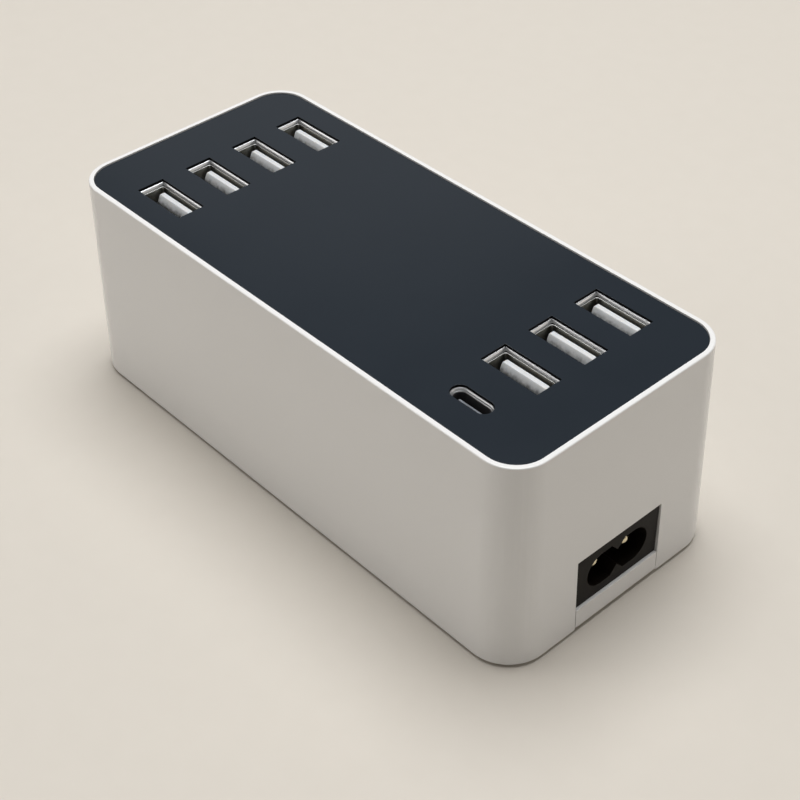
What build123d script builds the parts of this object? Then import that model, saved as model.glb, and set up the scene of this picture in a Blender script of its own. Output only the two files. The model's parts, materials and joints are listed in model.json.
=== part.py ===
from build123d import *
import os
from math import radians, tan

# Desktop charger: a drafted white case with a dark panel let into its top, eight sockets in two
# rows, and a two-pin mains inlet low on one end. Millimetres, +Z up, +X towards the inlet.
# The origin is on the desk, under the middle of the case.

os.makedirs("parts", exist_ok=True)

# Case
case_length = 130.8
case_width = 58.6
case_corner = 8.9
case_height = 47.5
case_wall = 2.2
case_draft = 1.4
desk_gap = 0.8
rim_width = 1.05
rim_round = 0.3
rim_rise = 0.3
deck_thickness = 2.0
panel_thickness = 0.6
panel_gap = 0.1

# Bottom cover, its posts, feet and screws
cover_inset = 0.4
cover_thickness = 1.6
cover_gap = 0.15
pad_radius = 4.2
pad_height = 2.0
boss_radius = 3.0
boss_inset = 5.6
rib_thickness = 1.2
post_size = 5.0
post_height = 1.4
post_inset = 3.5
hook_width = 6.0
hook_thickness = 1.2
hook_reach = 0.7
hook_rise = 1.4
hook_gap = 0.1
hanger_size = 4.0
foot_radius = 5.0
screw_radius = 1.2
screw_head_radius = 2.3
screw_head_height = 1.6
screw_bite = 7.0
screw_fit = 0.05
screw_clearance = 0.25

# Boards
board_thickness = 1.6
board_clearance = 1.0
board_edge_gap = 2.0
sheet_thickness = 0.3

# Mains inlet
inlet_width = 22.5
inlet_height = 12.1
inlet_depth = 19.0
inlet_setback = 0.4
inlet_gap = 0.2
tab_gap = 0.1
recess_depth = 12.5
lobe_radius = 3.9
pin_spacing = 8.6
pin_radius = 1.2
pin_setback = 1.6
waist_notch_depth = 2.0
waist_notch_width = 3.6
pin_fit = 0.03
tail_thickness = 1.0

# Rows of sockets
row_inset = 21.5
port_pitch = 12.18
ports_in_row = 4

# USB-A sockets
cutout_length = 14.0
cutout_width = 6.25
socket_inset = 0.35
socket_wall = 0.3
socket_height = 13.5
lip_overlap = 0.3
lip_height = 1.0
deck_clearance = 0.3
insulator_fit = 0.05
insulator_base = 3.0
tongue_length = 11.1
tongue_thickness = 1.84
tongue_gap = 0.5
tongue_drop = 2.0
tongue_corner = 0.7
contact_width = 1.0
contact_thickness = 0.2
contact_drop = 1.2
inner_contact = 1.0
outer_contact = 3.5

# USB-C socket
small_length = 9.2
small_width = 3.4
small_drop = 0.6
small_cutout_gap = 0.2
small_tongue_length = 6.7
small_tongue_thickness = 0.7
small_tongue_drop = 2.0
small_contact_width = 0.35
small_contact_pitch = 0.9
small_contact_thickness = 0.1
small_contact_count = 6

# Parts on the main board
part_gap = 2.0
fuse_length = 8.0
fuse_width = 4.0
fuse_height = 8.0
choke_width = 16.0
choke_height = 15.0
choke_limb = 4.0
choke_turns = 1.6
choke_fit = 0.05
x_capacitor_length = 12.5
x_capacitor_width = 6.0
x_capacitor_height = 12.0
bridge_length = 12.0
bridge_width = 4.0
bridge_height = 11.0
bulk_radius = 8.0
bulk_height = 18.0
sink_length = 22.0
sink_height = 19.0
sink_sheet = 2.0
sink_flange = 7.0
sink_edge_gap = 1.0
switch_width = 10.0
switch_depth = 4.4
switch_height = 15.0
switch_lead_length = 2.5
switch_lead_width = 0.9
switch_lead_pitch = 2.54
core_height = 20.0
core_depth = 11.0
core_limb = 4.0
core_centre = 8.0
bobbin_wall = 0.9
bobbin_fit = 0.1
winding_thickness = 4.6
y_capacitor_radius = 4.0
y_capacitor_depth = 4.0
opto_length = 6.5
opto_width = 4.6
opto_height = 3.5
output_choke_size = 13.0
output_choke_height = 9.0
output_choke_corner = 2.0
output_radius = 5.0
output_height = 14.0
output_count = 3
riser_width = 26.0
riser_inset = 5.0
chip_length = 5.0
chip_width = 4.0
chip_height = 1.2

# Heights and faces that the pieces share
slope = tan(radians(case_draft))
case_bottom = desk_gap
case_top = case_bottom + case_height
top_length = case_length - 2 * case_height * slope
top_width = case_width - 2 * case_height * slope
top_corner = case_corner - case_height * slope
panel_top = case_top - rim_rise
panel_seat = panel_top - panel_thickness
deck_under = panel_seat - deck_thickness
recess_length = top_length - 2 * rim_width
recess_width = top_width - 2 * rim_width
recess_corner = top_corner - rim_width
cavity_length = case_length - 2 * case_wall
cavity_width = case_width - 2 * case_wall
cavity_corner = case_corner - case_wall

cover_bottom = case_bottom + cover_inset
cover_top = cover_bottom + cover_thickness
pad_top = cover_top + pad_height
board_under = cover_top + post_height
board_top = board_under + board_thickness
tab_top = board_top - tab_gap
window_width = inlet_width + 2 * inlet_gap
window_top = board_top + inlet_height + inlet_gap
port_board_top = panel_seat - socket_height
port_board_under = port_board_top - board_thickness

boss_x = cavity_length / 2 - boss_inset
boss_y = cavity_width / 2 - boss_inset
arm_x = boss_x - pad_radius - board_clearance
arm_y = boss_y - pad_radius - board_clearance
board_length = cavity_length - 2 * board_edge_gap
board_width = cavity_width - 2 * board_edge_gap
port_board_shrink = 2 * (port_board_top - case_bottom) * slope
port_board_length = board_length - port_board_shrink
port_board_width = board_width - port_board_shrink
post_x = arm_x - post_inset
post_y = board_width / 2 - post_inset

row_offset = case_length / 2 - row_inset
hanger_x = row_offset - (cutout_length + hanger_size) / 2 - lip_overlap - deck_clearance - part_gap
hanger_y = port_board_width / 2 - post_inset
row_heights = [(place - (ports_in_row - 1) / 2) * port_pitch for place in range(ports_in_row)]
usb_a_places = [(-row_offset, y) for y in row_heights] + [(row_offset, y) for y in row_heights[1:]]
usb_c_place = (row_offset, row_heights[0])


def end_face(height):
    """Outer face of the drafted end wall at a height above the desk."""
    return case_length / 2 - (height - case_bottom) * slope


# Case: drafted box with a rounded rim, a panel recess, socket holes, an inlet window and bosses
lip_length = cutout_length + 2 * lip_overlap
lip_width = cutout_width + 2 * lip_overlap
with BuildPart() as outer_shell:
    with BuildSketch(Plane.XY.offset(case_bottom)):
        RectangleRounded(case_length, case_width, case_corner)
    extrude(amount=case_height, taper=case_draft)
    fillet(outer_shell.faces().sort_by(Axis.Z)[-1].edges(), rim_round)
    with BuildSketch(Plane.XY.offset(case_bottom)):
        RectangleRounded(cavity_length, cavity_width, cavity_corner)
    extrude(amount=deck_under - case_bottom, taper=case_draft, mode=Mode.SUBTRACT)
    with BuildSketch(Plane.XY.offset(panel_seat)):
        RectangleRounded(recess_length, recess_width, recess_corner)
    extrude(amount=case_top - panel_seat, mode=Mode.SUBTRACT)
    with BuildSketch(Plane.XY.offset(deck_under)):
        with Locations(*usb_a_places):
            Rectangle(lip_length + 2 * deck_clearance, lip_width + 2 * deck_clearance)
        with Locations(usb_c_place):
            SlotOverall(small_length + 2 * deck_clearance, small_width + 2 * deck_clearance)
    extrude(amount=deck_thickness, mode=Mode.SUBTRACT)
    with BuildSketch(Plane.YZ.offset(case_length / 2 - 2 * case_wall)):
        with Locations((0, case_bottom)):
            Rectangle(window_width, window_top - case_bottom, align=(Align.CENTER, Align.MIN))
    extrude(amount=2 * case_wall, mode=Mode.SUBTRACT)
    with BuildSketch(Plane.XY.offset(pad_top)):
        with GridLocations(2 * boss_x, 2 * boss_y, 2, 2):
            Circle(boss_radius)
        for side in (-1, 1):
            for end in (-1, 1):
                with Locations((end * boss_x, side * boss_y)):
                    reach = boss_inset + case_wall / 4
                    along = (Align.MIN if end > 0 else Align.MAX, Align.CENTER)
                    across = (Align.CENTER, Align.MIN if side > 0 else Align.MAX)
                    Rectangle(reach, rib_thickness, align=along)
                    Rectangle(rib_thickness, reach, align=across)
    extrude(amount=deck_under - pad_top)
    with BuildSketch(Plane.XY.offset(port_board_top)):
        with GridLocations(2 * hanger_x, 2 * hanger_y, 2, 2):
            Rectangle(hanger_size, hanger_size)
    extrude(amount=deck_under - port_board_top)
    with BuildSketch(Plane.XY.offset(pad_top)):
        with GridLocations(2 * boss_x, 2 * boss_y, 2, 2):
            Circle(screw_radius + screw_fit)
    extrude(amount=screw_bite + screw_radius, mode=Mode.SUBTRACT)
outer_shell.part.label = "outer_shell"
export_step(outer_shell.part, "parts/outer_shell.step")

# Dark panel laid on the deck inside the rim
with BuildPart() as top_panel:
    with BuildSketch(Plane.XY.offset(panel_seat)):
        RectangleRounded(
            recess_length - 2 * panel_gap, recess_width - 2 * panel_gap, recess_corner - panel_gap
        )
        with Locations(*usb_a_places):
            Rectangle(cutout_length, cutout_width, mode=Mode.SUBTRACT)
        with Locations(usb_c_place):
            SlotOverall(
                small_length + 2 * small_cutout_gap,
                small_width + 2 * small_cutout_gap,
                mode=Mode.SUBTRACT,
            )
    extrude(amount=panel_thickness)
top_panel.part.label = "top_panel"
export_step(top_panel.part, "parts/top_panel.step")

# Bottom cover: screw pads, posts and hooks for the board, and the tab under the inlet
tab_inner = cavity_length / 2 - cover_gap - cover_thickness
counterbore_top = cover_bottom + screw_head_height + screw_clearance
hook_x = post_x - post_size / 2 - part_gap - hook_width / 2
hook_y = board_width / 2 + hook_gap
hook_top = board_top + hook_gap + hook_rise
with BuildPart() as bottom_cover:
    with BuildSketch(Plane.XY.offset(cover_bottom)):
        RectangleRounded(
            cavity_length - 2 * (cover_gap + cover_inset * slope),
            cavity_width - 2 * (cover_gap + cover_inset * slope),
            cavity_corner - cover_gap,
        )
    extrude(amount=cover_thickness, taper=case_draft)
    with BuildSketch(Plane.XZ):
        with BuildLine():
            Polyline(
                (tab_inner, cover_bottom),
                (end_face(cover_bottom), cover_bottom),
                (end_face(tab_top), tab_top),
                (tab_inner, tab_top),
                close=True,
            )
        make_face()
    extrude(amount=inlet_width / 2, both=True)
    with BuildSketch(Plane.XY.offset(cover_top)):
        with GridLocations(2 * boss_x, 2 * boss_y, 2, 2):
            Circle(pad_radius)
    extrude(amount=pad_height)
    with BuildSketch(Plane.XY.offset(cover_top)):
        with GridLocations(2 * post_x, 2 * post_y, 2, 2):
            Rectangle(post_size, post_size)
    extrude(amount=post_height)
    with BuildSketch(Plane.XY.offset(cover_bottom)):
        with GridLocations(2 * boss_x, 2 * boss_y, 2, 2):
            Circle(screw_head_radius + screw_clearance)
    extrude(amount=counterbore_top - cover_bottom, mode=Mode.SUBTRACT)
    with BuildSketch(Plane.XY.offset(counterbore_top)):
        with GridLocations(2 * boss_x, 2 * boss_y, 2, 2):
            Circle(screw_radius + screw_clearance)
    extrude(amount=pad_top - counterbore_top, mode=Mode.SUBTRACT)
    for side in (-1, 1):
        for end in (-1, 1):
            with BuildSketch(Plane.YZ.offset(end * hook_x - hook_width / 2)):
                with BuildLine():
                    Polyline(
                        (side * (hook_y + hook_thickness), cover_top),
                        (side * (hook_y + hook_thickness), hook_top),
                        (side * (hook_y + hook_thickness / 2), hook_top),
                        (side * (hook_y - hook_reach), board_top + hook_gap),
                        (side * hook_y, board_top + hook_gap),
                        (side * hook_y, cover_top),
                        close=True,
                    )
                make_face()
            extrude(amount=hook_width)
bottom_cover.part.label = "bottom_cover"
export_step(bottom_cover.part, "parts/bottom_cover.step")

# Rubber feet over the cover screws
foot_corners = {"front_left": (-1, -1), "front_right": (1, -1), "back_left": (-1, 1), "back_right": (1, 1)}
for corner, (end, side) in foot_corners.items():
    with BuildPart() as rubber_foot:
        with BuildSketch():
            with Locations((end * boss_x, side * boss_y)):
                Circle(foot_radius)
        extrude(amount=cover_bottom)
    rubber_foot.part.label = f"rubber_foot_{corner}"
    export_step(rubber_foot.part, f"parts/rubber_foot_{corner}.step")

# Screws that hold the cover to the case, heads down in the counterbores
with BuildPart() as cover_screws:
    with BuildSketch(Plane.XY.offset(counterbore_top)):
        with GridLocations(2 * boss_x, 2 * boss_y, 2, 2):
            Circle(screw_head_radius)
    extrude(amount=-screw_head_height)
    with BuildSketch(Plane.XY.offset(counterbore_top)):
        with GridLocations(2 * boss_x, 2 * boss_y, 2, 2):
            Circle(screw_radius)
    extrude(amount=pad_top + screw_bite - counterbore_top)
cover_screws.part.label = "cover_screws"
export_step(cover_screws.part, "parts/cover_screws.step")

# Insulating sheet on the floor of the cover, between the posts
with BuildPart() as insulating_sheet:
    with BuildSketch(Plane.XY.offset(cover_top)):
        Rectangle(2 * post_x - post_size - 2 * board_clearance, 2 * arm_y)
    extrude(amount=sheet_thickness)
insulating_sheet.part.label = "insulating_sheet"
export_step(insulating_sheet.part, "parts/insulating_sheet.step")

# Main board: its corners are cut away round the case bosses
inlet_front = end_face(board_top + inlet_height / 2) - inlet_setback
inlet_back = inlet_front - inlet_depth
tail_x = inlet_back - tail_thickness
tail_width = 2 * pin_radius
with BuildPart() as main_board:
    with BuildSketch(Plane.XY.offset(board_under)):
        Rectangle(board_length, 2 * arm_y)
        Rectangle(2 * arm_x, board_width)
        with Locations((tail_x, -pin_spacing / 2), (tail_x, pin_spacing / 2)):
            Rectangle(
                tail_thickness + 2 * screw_clearance, tail_width + 2 * screw_clearance, mode=Mode.SUBTRACT
            )
    extrude(amount=board_thickness)
main_board.part.label = "main_board"
export_step(main_board.part, "parts/main_board.step")

# Mains inlet: a block with a figure-eight recess, notched at its waist
inlet_middle = board_top + inlet_height / 2
with BuildPart() as ac_inlet:
    with BuildSketch(Plane.YZ.offset(inlet_back)):
        with Locations((0, inlet_middle)):
            Rectangle(inlet_width, inlet_height)
    extrude(amount=inlet_depth)
    with BuildSketch(Plane.YZ.offset(inlet_front)):
        with Locations((0, inlet_middle)):
            SlotCenterToCenter(pin_spacing, 2 * lobe_radius)
        for side in (-1, 1):
            with BuildLine():
                Polyline(
                    (-waist_notch_width / 2, inlet_middle + side * lobe_radius),
                    (0, inlet_middle + side * (lobe_radius - waist_notch_depth)),
                    (waist_notch_width / 2, inlet_middle + side * lobe_radius),
                    close=True,
                )
            make_face(mode=Mode.SUBTRACT)
    extrude(amount=-recess_depth, mode=Mode.SUBTRACT)
    with BuildSketch(Plane.YZ.offset(inlet_back)):
        with Locations((-pin_spacing / 2, inlet_middle), (pin_spacing / 2, inlet_middle)):
            Circle(pin_radius + pin_fit)
    extrude(amount=inlet_depth - recess_depth, mode=Mode.SUBTRACT)
ac_inlet.part.label = "ac_inlet"
export_step(ac_inlet.part, "parts/ac_inlet.step")

# The two inlet pins, each with a tail down through the main board
for name, side in (("right", -1), ("left", 1)):
    with BuildPart() as inlet_pin:
        with BuildSketch(Plane.YZ.offset(tail_x)):
            with Locations((side * pin_spacing / 2, inlet_middle)):
                Circle(pin_radius)
        extrude(amount=inlet_front - pin_setback - tail_x)
        chamfer(inlet_pin.faces().sort_by(Axis.X)[-1].edges(), pin_radius / 2)
        with BuildSketch(Plane.XY.offset(board_under)):
            with Locations((tail_x, side * pin_spacing / 2)):
                Rectangle(tail_thickness, tail_width)
        extrude(amount=inlet_middle - board_under)
    inlet_pin.part.label = f"inlet_pin_{name}"
    export_step(inlet_pin.part, f"parts/inlet_pin_{name}.step")

# Fuse beside the inlet
fuse_y = inlet_width / 2 + part_gap / 2 + fuse_width / 2
with BuildPart() as fuse:
    with BuildSketch(Plane.XY.offset(board_top)):
        with Locations((inlet_back + fuse_length / 2, fuse_y)):
            Rectangle(fuse_length, fuse_width)
    extrude(amount=fuse_height)
    chamfer(fuse.edges().filter_by(Axis.Z), fuse_width / 5)
fuse.part.label = "fuse"
export_step(fuse.part, "parts/fuse.step")

# Filter choke: a square ring on edge with a winding on each upright limb
choke_depth = choke_limb + 2 * choke_turns + 2 * choke_fit
choke_x = tail_x - tail_thickness / 2 - part_gap - choke_depth / 2
limb_y = choke_width / 2 - choke_limb / 2
with BuildPart() as filter_choke_core:
    with BuildSketch(Plane.YZ.offset(choke_x - choke_limb / 2)):
        with Locations((0, board_top + choke_height / 2)):
            Rectangle(choke_width, choke_height)
            Rectangle(choke_width - 2 * choke_limb, choke_height - 2 * choke_limb, mode=Mode.SUBTRACT)
    extrude(amount=choke_limb)
filter_choke_core.part.label = "filter_choke_core"
export_step(filter_choke_core.part, "parts/filter_choke_core.step")

with BuildPart() as filter_choke_windings:
    with BuildSketch(Plane.XY.offset(board_top + choke_limb + choke_fit)):
        with Locations((choke_x, -limb_y), (choke_x, limb_y)):
            Rectangle(choke_depth, choke_depth)
            Rectangle(choke_limb + 2 * choke_fit, choke_limb + 2 * choke_fit, mode=Mode.SUBTRACT)
    extrude(amount=choke_height - 2 * choke_limb - 2 * choke_fit)
filter_choke_windings.part.label = "filter_choke_windings"
export_step(filter_choke_windings.part, "parts/filter_choke_windings.step")

# X capacitor and bridge rectifier, one on each side of the choke
choke_side = limb_y + choke_depth / 2 + part_gap / 2
with BuildPart() as x_capacitor:
    with BuildSketch(Plane.XY.offset(board_top)):
        with Locations((choke_x, -choke_side - x_capacitor_length / 2)):
            Rectangle(x_capacitor_width, x_capacitor_length)
    extrude(amount=x_capacitor_height)
x_capacitor.part.label = "x_capacitor"
export_step(x_capacitor.part, "parts/x_capacitor.step")

with BuildPart() as bridge_rectifier:
    with BuildSketch(Plane.XY.offset(board_top)):
        with Locations((choke_x, choke_side + bridge_length / 2)):
            Rectangle(bridge_width, bridge_length)
    extrude(amount=bridge_height)
    top_edges = bridge_rectifier.edges().filter_by(Axis.X).group_by(Axis.Z)[-1]
    chamfer(top_edges.sort_by(Axis.Y)[-1], bridge_width / 2)
bridge_rectifier.part.label = "bridge_rectifier"
export_step(bridge_rectifier.part, "parts/bridge_rectifier.step")

# Two bulk capacitors
bulk_x = choke_x - choke_depth / 2 - part_gap - bulk_radius
bulk_y = bulk_radius + part_gap / 2
for name, side in (("right", -1), ("left", 1)):
    with BuildPart() as bulk_capacitor:
        with BuildSketch(Plane.XY.offset(board_top)):
            with Locations((bulk_x, side * bulk_y)):
                Circle(bulk_radius)
        extrude(amount=bulk_height)
    bulk_capacitor.part.label = f"bulk_capacitor_{name}"
    export_step(bulk_capacitor.part, f"parts/bulk_capacitor_{name}.step")

# Transformer: a double-window core, a flanged bobbin on its middle limb and the winding
hole_x = core_depth + 2 * bobbin_fit
hole_y = core_centre + 2 * bobbin_fit
tube_x = hole_x + 2 * bobbin_wall
tube_y = hole_y + 2 * bobbin_wall
flange_x = tube_x + 2 * winding_thickness
flange_y = tube_y + 2 * winding_thickness
core_length = flange_y + 2 * bobbin_fit + 2 * core_limb
transformer_x = bulk_x - bulk_radius - part_gap - flange_x / 2
window_height = core_height - 2 * core_limb
with BuildPart() as transformer_core:
    with BuildSketch(Plane.YZ.offset(transformer_x - core_depth / 2)):
        with Locations((0, board_top + core_height / 2)):
            Rectangle(core_length, core_height)
            Rectangle(core_length - 2 * core_limb, window_height, mode=Mode.SUBTRACT)
            Rectangle(core_centre, core_height)
    extrude(amount=core_depth)
transformer_core.part.label = "transformer_core"
export_step(transformer_core.part, "parts/transformer_core.step")

bobbin_bottom = board_top + core_limb + bobbin_fit
bobbin_height = window_height - 2 * bobbin_fit
with BuildPart() as transformer_bobbin:
    with BuildSketch(Plane.XY.offset(bobbin_bottom)):
        with Locations((transformer_x, 0)):
            Rectangle(flange_x, flange_y)
    extrude(amount=bobbin_wall)
    with BuildSketch(Plane.XY.offset(bobbin_bottom + bobbin_height)):
        with Locations((transformer_x, 0)):
            Rectangle(flange_x, flange_y)
    extrude(amount=-bobbin_wall)
    with BuildSketch(Plane.XY.offset(bobbin_bottom)):
        with Locations((transformer_x, 0)):
            Rectangle(tube_x, tube_y)
    extrude(amount=bobbin_height)
    with BuildSketch(Plane.XY.offset(bobbin_bottom)):
        with Locations((transformer_x, 0)):
            Rectangle(hole_x, hole_y)
    extrude(amount=bobbin_height, mode=Mode.SUBTRACT)
transformer_bobbin.part.label = "transformer_bobbin"
export_step(transformer_bobbin.part, "parts/transformer_bobbin.step")

with BuildPart() as transformer_winding:
    with BuildSketch(Plane.XY.offset(bobbin_bottom + bobbin_wall + bobbin_fit)):
        with Locations((transformer_x, 0)):
            Rectangle(flange_x - 2 * bobbin_wall, flange_y - 2 * bobbin_wall)
            Rectangle(tube_x + 2 * bobbin_fit, tube_y + 2 * bobbin_fit, mode=Mode.SUBTRACT)
    extrude(amount=bobbin_height - 2 * bobbin_wall - 2 * bobbin_fit)
transformer_winding.part.label = "transformer_winding"
export_step(transformer_winding.part, "parts/transformer_winding.step")

# Heat sinks along one edge of the board, each with a device screwed flat against it
sink_y = board_width / 2 - sink_edge_gap
output_front = transformer_x - flange_x / 2 - part_gap
device_sites = (
    ("primary_heat_sink", "power_switch", transformer_x),
    ("secondary_heat_sink", "output_rectifier", output_front - sink_length / 2),
)
for sink_name, device_name, site_x in device_sites:
    with BuildPart() as heat_sink:
        with BuildSketch(Plane.YZ.offset(site_x - sink_length / 2)):
            with BuildLine():
                Polyline(
                    (sink_y, board_top),
                    (sink_y, board_top + sink_height),
                    (sink_y - sink_flange, board_top + sink_height),
                    (sink_y - sink_flange, board_top + sink_height - sink_sheet),
                    (sink_y - sink_sheet, board_top + sink_height - sink_sheet),
                    (sink_y - sink_sheet, board_top),
                    close=True,
                )
            make_face()
        extrude(amount=sink_length)
    heat_sink.part.label = sink_name
    export_step(heat_sink.part, f"parts/{sink_name}.step")

    with BuildPart() as power_device:
        with BuildSketch(Plane.XZ.offset(sink_sheet - sink_y)):
            with Locations((site_x, board_top + switch_lead_length)):
                Rectangle(
                    switch_width,
                    switch_height - switch_lead_length,
                    align=(Align.CENTER, Align.MIN),
                )
        extrude(amount=switch_depth)
        with BuildSketch(Plane.XY.offset(board_top)):
            with Locations((site_x, sink_y - sink_sheet - switch_depth / 2)):
                with GridLocations(switch_lead_pitch, 0, 3, 1):
                    Rectangle(switch_lead_width, switch_lead_width)
        extrude(amount=switch_lead_length)
    power_device.part.label = device_name
    export_step(power_device.part, f"parts/{device_name}.step")

# Y capacitor and optocoupler in the gap beside the transformer
beside_y = -core_length / 2 - part_gap / 2
with BuildPart() as y_capacitor:
    with BuildSketch(Plane.YZ.offset(transformer_x)):
        with Locations((beside_y - y_capacitor_radius, board_top + y_capacitor_radius)):
            Circle(y_capacitor_radius)
    extrude(amount=y_capacitor_depth)
y_capacitor.part.label = "y_capacitor"
export_step(y_capacitor.part, "parts/y_capacitor.step")

with BuildPart() as optocoupler:
    with BuildSketch(Plane.XY.offset(board_top)):
        with Locations((transformer_x - part_gap - opto_length / 2, beside_y - opto_width / 2)):
            Rectangle(opto_length, opto_width)
    extrude(amount=opto_height)
optocoupler.part.label = "optocoupler"
export_step(optocoupler.part, "parts/optocoupler.step")

# Output choke: a square shielded block with cut corners
with BuildPart() as output_choke:
    with BuildSketch(Plane.XY.offset(board_top)):
        with Locations((output_front - output_choke_size / 2, -(output_choke_size + part_gap) / 2)):
            Rectangle(output_choke_size, output_choke_size)
    extrude(amount=output_choke_height)
    chamfer(output_choke.edges().filter_by(Axis.Z), output_choke_corner)
output_choke.part.label = "output_choke"
export_step(output_choke.part, "parts/output_choke.step")

# Output capacitors in a line beside the choke
for number in range(output_count):
    output_x = output_front - output_radius - number * (2 * output_radius + part_gap / 2)
    with BuildPart() as output_capacitor:
        with BuildSketch(Plane.XY.offset(board_top)):
            with Locations((output_x, output_radius + part_gap / 2)):
                Circle(output_radius)
        extrude(amount=output_height)
    output_capacitor.part.label = f"output_capacitor_{number + 1}"
    export_step(output_capacitor.part, f"parts/output_capacitor_{number + 1}.step")

# Riser board that carries the output up to the port board
with BuildPart() as riser_board:
    with BuildSketch(Plane.XY.offset(board_top)):
        with Locations((riser_inset - board_length / 2, 0)):
            Rectangle(board_thickness, riser_width)
    extrude(amount=port_board_under - board_top)
riser_board.part.label = "riser_board"
export_step(riser_board.part, "parts/riser_board.step")

# Port board between the riser and the posts under the deck, with two charge controllers
port_arm_x = boss_x - boss_radius - board_clearance
port_arm_y = boss_y - boss_radius - board_clearance
with BuildPart() as port_board:
    with BuildSketch(Plane.XY.offset(port_board_under)):
        Rectangle(port_board_length, 2 * port_arm_y)
        Rectangle(2 * port_arm_x, port_board_width)
    extrude(amount=board_thickness)
port_board.part.label = "port_board"
export_step(port_board.part, "parts/port_board.step")

chip_x = hanger_x - hanger_size / 2 - part_gap - chip_length / 2
for name, end in (("far", -1), ("near", 1)):
    with BuildPart() as charge_controller:
        with BuildSketch(Plane.XY.offset(port_board_top)):
            with Locations((end * chip_x, 0)):
                Rectangle(chip_length, chip_width)
        extrude(amount=chip_height)
    charge_controller.part.label = f"charge_controller_{name}"
    export_step(charge_controller.part, f"parts/charge_controller_{name}.step")

# USB-A sockets: a drawn shell flared at its mouth, and an insulator with its tongue
socket_length = cutout_length - 2 * socket_inset
socket_width = cutout_width - 2 * socket_inset
bore_length = socket_length - 2 * socket_wall
bore_width = socket_width - 2 * socket_wall
flare_bottom = panel_seat - lip_height
tongue_top = panel_top - tongue_drop
tongue_y = bore_width / 2 - tongue_gap - tongue_thickness / 2
for number, (port_x, port_y) in enumerate(usb_a_places, start=1):
    with BuildPart() as usb_a_shell:
        with BuildSketch(Plane.XY.offset(port_board_top)):
            with Locations((port_x, port_y)):
                Rectangle(socket_length, socket_width)
        extrude(amount=flare_bottom - port_board_top)
        with BuildSketch(Plane.XY.offset(flare_bottom)):
            with Locations((port_x, port_y)):
                Rectangle(socket_length, socket_width)
        with BuildSketch(Plane.XY.offset(panel_seat)):
            with Locations((port_x, port_y)):
                Rectangle(lip_length, lip_width)
        loft()
        with BuildSketch(Plane.XY.offset(port_board_top)):
            with Locations((port_x, port_y)):
                Rectangle(bore_length, bore_width)
        extrude(amount=flare_bottom - port_board_top, mode=Mode.SUBTRACT)
        with BuildSketch(Plane.XY.offset(flare_bottom)):
            with Locations((port_x, port_y)):
                Rectangle(bore_length, bore_width)
        with BuildSketch(Plane.XY.offset(panel_seat)):
            with Locations((port_x, port_y)):
                Rectangle(lip_length - 2 * socket_wall, lip_width - 2 * socket_wall)
        loft(mode=Mode.SUBTRACT)
    usb_a_shell.part.label = f"usb_a_shell_{number}"
    export_step(usb_a_shell.part, f"parts/usb_a_shell_{number}.step")

    with BuildPart() as usb_a_insulator:
        with BuildSketch(Plane.XY.offset(port_board_top)):
            with Locations((port_x, port_y)):
                Rectangle(bore_length - 2 * insulator_fit, bore_width - 2 * insulator_fit)
        extrude(amount=insulator_base)
        with BuildSketch(Plane.XY.offset(port_board_top)):
            with Locations((port_x, port_y + tongue_y)):
                Rectangle(tongue_length, tongue_thickness)
        extrude(amount=tongue_top - port_board_top)
        fillet(
            usb_a_insulator.edges().filter_by(Axis.Y).group_by(Axis.Z)[-1],
            tongue_corner,
        )
    usb_a_insulator.part.label = f"usb_a_insulator_{number}"
    export_step(usb_a_insulator.part, f"parts/usb_a_insulator_{number}.step")

# USB-A contacts, four on the face of each tongue, one node for each row
contact_y = tongue_y - tongue_thickness / 2 - contact_thickness / 2
contact_places = (-outer_contact, -inner_contact, inner_contact, outer_contact)
insulator_top = port_board_top + insulator_base
for name, row in (("far", usb_a_places[:ports_in_row]), ("near", usb_a_places[ports_in_row:])):
    with BuildPart() as usb_a_contacts:
        with BuildSketch(Plane.XY.offset(insulator_top)):
            with Locations(*[(x + offset, y + contact_y) for x, y in row for offset in contact_places]):
                Rectangle(contact_width, contact_thickness)
        extrude(amount=tongue_top - contact_drop - insulator_top)
    usb_a_contacts.part.label = f"usb_a_contacts_{name}"
    export_step(usb_a_contacts.part, f"parts/usb_a_contacts_{name}.step")

# USB-C socket: an oval shell, its insulator and the contacts on both faces of the tongue
small_bore_length = small_length - 2 * socket_wall
small_bore_width = small_width - 2 * socket_wall
small_tongue_top = panel_top - small_tongue_drop
with BuildPart() as usb_c_shell:
    with BuildSketch(Plane.XY.offset(port_board_top)):
        with Locations(usb_c_place):
            SlotOverall(small_length, small_width)
            SlotOverall(small_bore_length, small_bore_width, mode=Mode.SUBTRACT)
    extrude(amount=panel_top - small_drop - port_board_top)
usb_c_shell.part.label = "usb_c_shell"
export_step(usb_c_shell.part, "parts/usb_c_shell.step")

with BuildPart() as usb_c_insulator:
    with BuildSketch(Plane.XY.offset(port_board_top)):
        with Locations(usb_c_place):
            SlotOverall(small_bore_length - 2 * insulator_fit, small_bore_width - 2 * insulator_fit)
    extrude(amount=insulator_base)
    with BuildSketch(Plane.XY.offset(port_board_top)):
        with Locations(usb_c_place):
            Rectangle(small_tongue_length, small_tongue_thickness)
    extrude(amount=small_tongue_top - port_board_top)
usb_c_insulator.part.label = "usb_c_insulator"
export_step(usb_c_insulator.part, "parts/usb_c_insulator.step")

with BuildPart() as usb_c_contacts:
    with BuildSketch(Plane.XY.offset(insulator_top)):
        with Locations(usb_c_place):
            with GridLocations(
                small_contact_pitch,
                small_tongue_thickness + small_contact_thickness,
                small_contact_count,
                2,
            ):
                Rectangle(small_contact_width, small_contact_thickness)
    extrude(amount=small_tongue_top - contact_drop - insulator_top)
usb_c_contacts.part.label = "usb_c_contacts"
export_step(usb_c_contacts.part, "parts/usb_c_contacts.step")
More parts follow.
